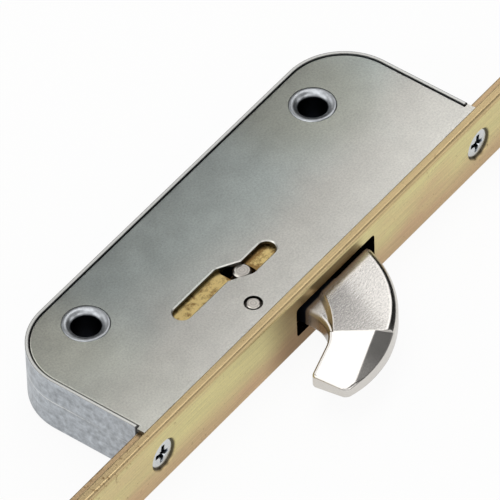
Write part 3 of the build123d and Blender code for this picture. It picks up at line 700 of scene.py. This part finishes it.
class HookCaseScrews(bpy.types.PropertyGroup):
    head: bpy.props.FloatProperty(
        name="Head", description="Diameter of the countersunk head, in millimetres",
        default=6.8, min=4, max=12)
    shank: bpy.props.FloatProperty(
        name="Shank", description="Diameter of the shank, in millimetres",
        default=3.5, min=2, max=6)
    recess: bpy.props.FloatProperty(
        name="Recess", description="Width across the crossed recess, in millimetres",
        default=4.6, min=2, max=7)
    wing: bpy.props.FloatProperty(
        name="Wing", description="Width of one wing of the recess, in millimetres",
        default=1.05, min=0.3, max=2)
    depth: bpy.props.FloatProperty(
        name="Depth", description="How much deeper the small head sits than a full one, in millimetres",
        default=0.3, min=0, max=1)
    turn: bpy.props.FloatProperty(
        name="Turn", description="How far the screws were turned when they came tight",
        default=math.radians(80), subtype="ANGLE")


# The screws, in millimetres: the head's rim as steps in radius and height from its edge, the
# chamfer at the tip, the recess and the fine ribs between its wings
HEAD_RIM = ((-0.45, 0), (-0.16, -0.05), (0, -0.16), (0, -0.22))
TIP_CHAMFER = 0.5
SCREW_SEGMENTS = 64
SHARP_DEGREES = 30
RECESS_DEPTH = 1.9
RECESS_LIP = 0.12
RIB_DEPTH = 0.5
CUTTER_ABOVE = 0.3
CUTTER_FLARE = (0.08, 0.04)
RIB_SHARES = (0.62, 0.3)
TAPER_SHARES = (0.5, 0.75)

# Points closer than these, in metres, are one point
SAME_POINT = 1e-8
WELD = 1e-7


def mesh_from(name, bm, material):
    bmesh.ops.remove_doubles(bm, verts=bm.verts, dist=WELD)
    bmesh.ops.recalc_face_normals(bm, faces=bm.faces)
    mesh = bpy.data.meshes.new(name)
    bm.to_mesh(mesh)
    bm.free()
    mesh.materials.append(material)
    return mesh


def put_in_scene(name, data):
    item = bpy.data.objects.new(name, data)
    bpy.context.scene.collection.objects.link(item)
    return item


def modified_mesh(item):
    """An object's mesh as its modifiers leave it."""
    bpy.context.view_layer.update()
    graph = bpy.context.evaluated_depsgraph_get()
    return bpy.data.meshes.new_from_object(item.evaluated_get(graph))


def turned(profile, segments):
    """Spins a profile of (radius, height) points, in millimetres, round the Z axis."""
    bm = bmesh.new()
    rings = []
    for i in range(segments):
        turn = math.tau * i / segments
        rings.append([bm.verts.new((r * MM * math.cos(turn), r * MM * math.sin(turn), z * MM))
                      for r, z in profile])
    for i, ring in enumerate(rings):
        after = rings[(i + 1) % segments]
        for j in range(len(profile) - 1):
            corners = []
            for v in (ring[j], after[j], after[j + 1], ring[j + 1]):
                if not any((v.co - c.co).length < SAME_POINT for c in corners):
                    corners.append(v)
            if len(corners) > 2:
                bm.faces.new(corners)
    return bm


def repeat_in_row(name, source, first, second, material, node_tree_name):
    """Places one mesh at two points with a geometry node tree and returns a plain object."""
    tree = bpy.data.node_groups.new(node_tree_name, "GeometryNodeTree")
    tree.interface.new_socket("Piece", in_out="INPUT", socket_type="NodeSocketGeometry")
    start = tree.interface.new_socket("First place", in_out="INPUT", socket_type="NodeSocketVector")
    step = tree.interface.new_socket("Step", in_out="INPUT", socket_type="NodeSocketVector")
    count = tree.interface.new_socket("Count", in_out="INPUT", socket_type="NodeSocketInt")
    finish = tree.interface.new_socket("Finish", in_out="INPUT", socket_type="NodeSocketMaterial")
    tree.interface.new_socket("Pieces", in_out="OUTPUT", socket_type="NodeSocketGeometry")
    given = add(tree, "NodeGroupInput").outputs
    row = add(tree, "GeometryNodeMeshLine",
              {"Count": given["Count"], "Start Location": given["First place"], "Offset": given["Step"]},
              mode="OFFSET")
    placed = add(tree, "GeometryNodeInstanceOnPoints", {"Points": row, "Instance": given["Piece"]})
    real = add(tree, "GeometryNodeRealizeInstances", {"Geometry": placed})
    coloured = add(tree, "GeometryNodeSetMaterial", {"Geometry": real, "Material": given["Finish"]})
    add(tree, "NodeGroupOutput", {"Pieces": coloured})
    maker = put_in_scene(name + "_maker", source)
    modifier = maker.modifiers.new("Row", "NODES")
    modifier.node_group = tree
    modifier[start.identifier] = first
    modifier[step.identifier] = tuple(b - a for a, b in zip(first, second))
    modifier[count.identifier] = 2
    modifier[finish.identifier] = material
    mesh = modified_mesh(maker)
    mesh.name = name
    bpy.data.objects.remove(maker)
    return put_in_scene(name, mesh)


def smooth_under(mesh, degrees):
    """Shades a mesh smooth and keeps edges sharper than an angle."""
    mesh.polygons.foreach_set("use_smooth", [True] * len(mesh.polygons))
    mesh.set_sharp_from_angle(angle=math.radians(degrees))


class HOOKCASE_OT_strip(bpy.types.Operator):
    """Finish the faceplate, the drive rail and the slider plates"""
    bl_idname = "hook_case.strip"
    bl_label = "Strip and sliders"

    def execute(self, context):
        dress(passivated_strip(), "faceplate", "drive_rail")
        dress(greased_passivate(), "upper_slider_plate", "lower_slider_plate", "drive_block")
        return {"FINISHED"}


class HOOKCASE_OT_case(bpy.types.Operator):
    """Finish the tray, the cover and what stands between them"""
    bl_idname = "hook_case.case"
    bl_label = "Case"

    def execute(self, context):
        dress(drawn_sheet(), "case_tray")
        dress(plated_sheet(), "cover_plate", "left_fixing_block", "right_fixing_block",
              "left_eyelet_spacer", "right_eyelet_spacer")
        return {"FINISHED"}


class HOOKCASE_OT_hook(bpy.types.Operator):
    """Finish the hook"""
    bl_idname = "hook_case.hook"
    bl_label = "Hook"

    def execute(self, context):
        dress(nickel_plate(), "hook_bolt")
        return {"FINISHED"}


class HOOKCASE_OT_pins(bpy.types.Operator):
    """Finish the hook's pivot pin, the follower pin with its sleeve, and the slider rivets"""
    bl_idname = "hook_case.pins"
    bl_label = "Pins"

    def execute(self, context):
        pivot = middle_of("hook_pivot_pin")
        follower = middle_of("follower_pin")
        dress(turned_steel("bare_steel_turned_pivot", pivot.x, pivot.y), "hook_pivot_pin")
        dress(turned_steel("bare_steel_turned_follower", follower.x, follower.y), "follower_pin",
              "follower_sleeve", "slider_rivets")
        return {"FINISHED"}


class HOOKCASE_OT_eyelets(bpy.types.Operator):
    """Finish the two flared eyelets"""
    bl_idname = "hook_case.eyelets"
    bl_label = "Eyelets"

    def execute(self, context):
        dress(flared_tube(), "left_eyelet", "right_eyelet")
        return {"FINISHED"}


def screw_blank(values):
    """A countersunk screw along Z, its head up, with the drive recess not cut yet."""
    head = values.head / 2
    shank = values.shank / 2
    low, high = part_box("left_case_screw")
    length = (high.y - low.y) / MM - values.depth
    sink = head - shank - HEAD_RIM[-1][1]
    profile = [(0, 0)] + [(head + out, up) for out, up in HEAD_RIM]
    profile += [(shank, -sink), (shank, TIP_CHAMFER - length), (shank - TIP_CHAMFER, -length), (0, -length)]
    return turned(profile, SCREW_SEGMENTS)


def recess_cutter(values):
    """The crossed recess with four tapering wings and four fine ribs between them."""
    long, wide = values.recess, values.wing
    wing = (long, wide, RECESS_DEPTH)
    rib = (long * RIB_SHARES[0], wide * RIB_SHARES[1], RIB_DEPTH)
    bm = bmesh.new()
    for turn, (reach, width, deep) in ((0, wing), (90, wing), (45, rib), (135, rib)):
        top = (reach / 2 + CUTTER_FLARE[0], width / 2 + CUTTER_FLARE[1], CUTTER_ABOVE)
        low = (reach / 2 * TAPER_SHARES[0], width / 2 * TAPER_SHARES[1], -deep)
        rotation = Matrix.Rotation(math.radians(turn), 3, "Z")
        corners = []
        for half_long, half_wide, z in (top, low):
            for sx, sy in ((-1, -1), (1, -1), (1, 1), (-1, 1)):
                corners.append(bm.verts.new(rotation @ Vector((sx * half_long, sy * half_wide, z)) * MM))
        bm.faces.new(corners[3::-1])
        bm.faces.new(corners[4:])
        for i in range(4):
            k = (i + 1) % 4
            bm.faces.new((corners[i], corners[k], corners[4 + k], corners[4 + i]))
    return bm


class HOOKCASE_OT_screws(bpy.types.Operator):
    """Make the two countersunk screws that hold the case to the faceplate"""
    bl_idname = "hook_case.screws"
    bl_label = "Case screws"

    def execute(self, context):
        values = context.scene.hook_case_screws
        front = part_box("left_case_screw")[0].y + values.depth * MM
        finish = blue_zinc(front + RECESS_LIP * MM)
        blank = put_in_scene("screw_blank", mesh_from("screw_blank", screw_blank(values), finish))
        cutter = put_in_scene("recess_cutter", mesh_from("recess_cutter", recess_cutter(values), finish))
        cut = blank.modifiers.new("Recess", "BOOLEAN")
        cut.operation = "DIFFERENCE"
        cut.solver = "EXACT"
        cut.use_self = True
        cut.object = cutter
        mesh = modified_mesh(blank)
        for item in (blank, cutter):
            bpy.data.objects.remove(item)
        mesh.transform(Matrix.Rotation(math.radians(90), 4, "X") @ Matrix.Rotation(values.turn, 4, "Z"))
        first = middle_of("left_case_screw")
        second = middle_of("right_case_screw")
        screws = repeat_in_row("case_screws", mesh, (first.x, front, first.z), (second.x, front, second.z),
                               finish, "Screws in a row")
        smooth_under(screws.data, SHARP_DEGREES)
        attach(screws, "case")
        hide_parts("left_case_screw", "right_case_screw")
        return {"FINISHED"}


# Stage


class HookCaseStage(bpy.types.PropertyGroup):
    azimuth: bpy.props.FloatProperty(
        name="Azimuth", description="Where the camera stands, from the front towards the right",
        default=math.radians(-51.524), subtype="ANGLE")
    elevation: bpy.props.FloatProperty(
        name="Elevation", description="How high the camera stands",
        default=math.radians(46.251), subtype="ANGLE")
    roll: bpy.props.FloatProperty(
        name="Roll", description="How far the camera is turned about its own axis",
        default=math.radians(-1.99), subtype="ANGLE")
    distance: bpy.props.FloatProperty(
        name="Distance", description="From the camera to what it looks at", default=1.8315, unit="LENGTH")
    view_width: bpy.props.FloatProperty(
        name="View width", description="Width of the view at that distance", default=0.10531, unit="LENGTH")
    target: bpy.props.FloatVectorProperty(
        name="Target", description="The point in the middle of the picture",
        default=(0.001787, 0.018356, 0.0), subtype="TRANSLATION")
    floor: bpy.props.StringProperty(
        name="Floor", description="Colour of the floor", default="#F4F4F2")
    floor_size: bpy.props.FloatProperty(
        name="Floor size", description="From the floor's middle to its edge", default=3.0, unit="LENGTH")
    key: bpy.props.FloatProperty(
        name="Key lamp", description="Power of the large soft lamp", default=0.56, unit="POWER")
    key_size: bpy.props.FloatVectorProperty(
        name="Key size", description="Length and width of the large soft lamp",
        size=2, default=(0.67, 0.178), unit="LENGTH")
    key_place: bpy.props.FloatVectorProperty(
        name="Key place", description="Middle of the large soft lamp",
        default=(0.1055, 0.0822, 0.35), subtype="TRANSLATION")
    key_turn: bpy.props.FloatProperty(
        name="Key turn", description="How far the lamp is turned about the vertical",
        default=math.radians(12.5), subtype="ANGLE")


# The soft panels in the room: their direction, the half angles in degrees where they start and
# where they are full, and their strength
PANELS = (
    ((-0.70, 0.47, 0.53), 32, 14, 1.2), ((0.541, -0.75, 0.36), 22, 10, 1.15),
    ((-0.60, -0.55, 0.58), 50, 15, 0.5), ((0.1, 0.72, 0.69), 22, 8, 1.2),
    ((-0.16, -0.84, 0.52), 15, 7, 1.5), ((0.50, -0.13, 0.86), 20, 5, 0.2),
    ((0.541, -0.45, 0.70), 16, 8, 0.55))

# The dim room that metal mirrors, from left to right, and the light that falls on everything
ROOM_X = (-0.6, 0.5)
ROOM_LIGHT = (0.35, 0.015)
DIFFUSE_LIGHT = 0.62

# How much of the floor the camera and the metal see as plain white
FLOOR_SEEN_WHITE = 0.93
FLOOR_MIRRORED_WHITE = 0.45
WHITE = (1, 1, 1, 1)
SENSOR_WIDTH = 36


def soft_panel(tree, aim, towards, wide, narrow, strength):
    """The brightness of a soft round panel that stands in one direction."""
    facing = add(tree, "ShaderNodeVectorMath", (aim, tuple(Vector(towards).normalized())),
                 operation="DOT_PRODUCT")
    start, full = math.cos(math.radians(wide)), math.cos(math.radians(narrow))
    return add(tree, RANGE, (facing, start, full, 0, strength), **SOFT)


def studio_world():
    """A white backdrop, and for the metal to mirror a dim room with seven soft panels."""
    world = bpy.data.worlds.new("soft_studio")
    world.use_nodes = True
    tree = world.node_tree
    tree.nodes.clear()
    ray = add(tree, "ShaderNodeLightPath").outputs
    aim = add(tree, "ShaderNodeTexCoord").outputs["Generated"]
    x = add(tree, "ShaderNodeSeparateXYZ", (aim,)).outputs["X"]
    seen = add(tree, RANGE, (x, *ROOM_X, *ROOM_LIGHT), **SOFT)
    for panel in PANELS:
        seen = add(tree, MATH, (seen, soft_panel(tree, aim, *panel)), operation="ADD")
    indoors = add(tree, MIX, (ray["Is Glossy Ray"], DIFFUSE_LIGHT, seen), data_type="FLOAT")
    clear = add(tree, MATH, (ray["Is Camera Ray"], ray["Is Transmission Ray"]), operation="MAXIMUM")
    strength = add(tree, MIX, (clear, indoors, 1.0), data_type="FLOAT")
    light = add(tree, "ShaderNodeBackground", {"Color": WHITE, "Strength": strength})
    add(tree, "ShaderNodeOutputWorld", {"Surface": light})
    return world


def floor_card(values):
    """Matt white paper.

    It scatters light evenly, and what the camera and the metal see of it is lifted to the
    white of a lit backdrop while it keeps a soft shadow."""
    material, tree = empty_material("white_paper_matt")
    ray = add(tree, "ShaderNodeLightPath").outputs
    place = add(tree, "ShaderNodeTexCoord").outputs["Object"]
    fibre = add(tree, "ShaderNodeTexNoise", {"Vector": place, "Scale": per_mm(1.5), "Detail": 2})
    bump = add(tree, "ShaderNodeBump", {"Height": fibre, "Strength": 0.05, "Distance": FINE_RELIEF})
    paper = add(tree, "ShaderNodeBsdfDiffuse", {"Color": linear(values.floor), "Normal": bump})
    white = add(tree, "ShaderNodeEmission", {"Color": WHITE, "Strength": 1.0})
    seen = add(tree, MATH, (ray["Is Camera Ray"], FLOOR_SEEN_WHITE), operation="MULTIPLY")
    mirrored = add(tree, MATH, (ray["Is Glossy Ray"], FLOOR_MIRRORED_WHITE), operation="MULTIPLY")
    share = add(tree, MATH, (seen, mirrored), operation="MAXIMUM")
    both = add(tree, "ShaderNodeMixShader", (share, paper, white))
    add(tree, "ShaderNodeOutputMaterial", {"Surface": both})
    return material


def camera_matrix(values):
    """Where the camera stands and how it is turned, looking at its target."""
    a, e, r = values.azimuth, values.elevation, values.roll
    back = Vector((math.sin(a) * math.cos(e), -math.cos(a) * math.cos(e), math.sin(e)))
    level = Vector((math.cos(a), math.sin(a), 0))
    upright = back.cross(level)
    right = level * math.cos(r) + upright * math.sin(r)
    up = upright * math.cos(r) - level * math.sin(r)
    place = Vector(values.target) + back * values.distance
    return Matrix.LocRotScale(place, Matrix((right, up, back)).transposed(), None)


class HOOKCASE_OT_stage(bpy.types.Operator):
    """Set up the camera, the white floor and the soft light"""
    bl_idname = "hook_case.stage"
    bl_label = "Stage"

    def execute(self, context):
        scene = context.scene
        values = scene.hook_case_stage
        scene.view_settings.view_transform = "Standard"
        data = bpy.data.cameras.new("photo_camera")
        data.sensor_width = SENSOR_WIDTH
        data.lens = SENSOR_WIDTH * values.distance / values.view_width
        scene.camera = put_in_scene("photo_camera", data)
        scene.camera.matrix_world = camera_matrix(values)
        scene.world = studio_world()
        bm = bmesh.new()
        bmesh.ops.create_grid(bm, x_segments=2, y_segments=2, size=values.floor_size)
        for v in bm.verts:
            v.co.z = STRIP_BOTTOM
        put_in_scene("floor", mesh_from("floor", bm, floor_card(values)))
        softbox = bpy.data.lights.new("key_softbox", "AREA")
        softbox.shape = "RECTANGLE"
        softbox.size, softbox.size_y = values.key_size
        softbox.energy = values.key
        lamp = put_in_scene("key_softbox", softbox)
        lamp.location = values.key_place
        lamp.rotation_euler.z = values.key_turn
        return {"FINISHED"}


# Panel


class HOOKCASE_PT_panel(bpy.types.Panel):
    bl_idname = "HOOKCASE_PT_panel"
    bl_label = "Hook bolt case"
    bl_space_type = "VIEW_3D"
    bl_region_type = "UI"
    bl_category = "Hook bolt"

    def draw(self, context):
        for title, name, group in GROUPS:
            box = self.layout.box()
            box.label(text=title)
            for value in group.__annotations__:
                box.prop(getattr(context.scene, name), value)
        for operator in OPERATORS:
            self.layout.operator(operator.bl_idname)


GROUPS = (
    ("Finishes", "hook_case_finishes", HookCaseFinishes),
    ("Screws", "hook_case_screws", HookCaseScrews),
    ("Stage", "hook_case_stage", HookCaseStage),
)
OPERATORS = (
    HOOKCASE_OT_strip,
    HOOKCASE_OT_case,
    HOOKCASE_OT_hook,
    HOOKCASE_OT_pins,
    HOOKCASE_OT_eyelets,
    HOOKCASE_OT_screws,
    HOOKCASE_OT_stage,
)


def register():
    for title, name, group in GROUPS:
        bpy.utils.register_class(group)
        setattr(bpy.types.Scene, name, bpy.props.PointerProperty(type=group))
    for operator in OPERATORS:
        bpy.utils.register_class(operator)
    bpy.utils.register_class(HOOKCASE_PT_panel)


def unregister():
    bpy.utils.unregister_class(HOOKCASE_PT_panel)
    for operator in reversed(OPERATORS):
        bpy.utils.unregister_class(operator)
    for title, name, group in reversed(GROUPS):
        delattr(bpy.types.Scene, name)
        bpy.utils.unregister_class(group)


def main():
    register()
    bpy.ops.hook_case.strip()
    bpy.ops.hook_case.case()
    bpy.ops.hook_case.hook()
    bpy.ops.hook_case.pins()
    bpy.ops.hook_case.eyelets()
    bpy.ops.hook_case.screws()
    bpy.ops.hook_case.stage()


if __name__ == "__main__":
    main()
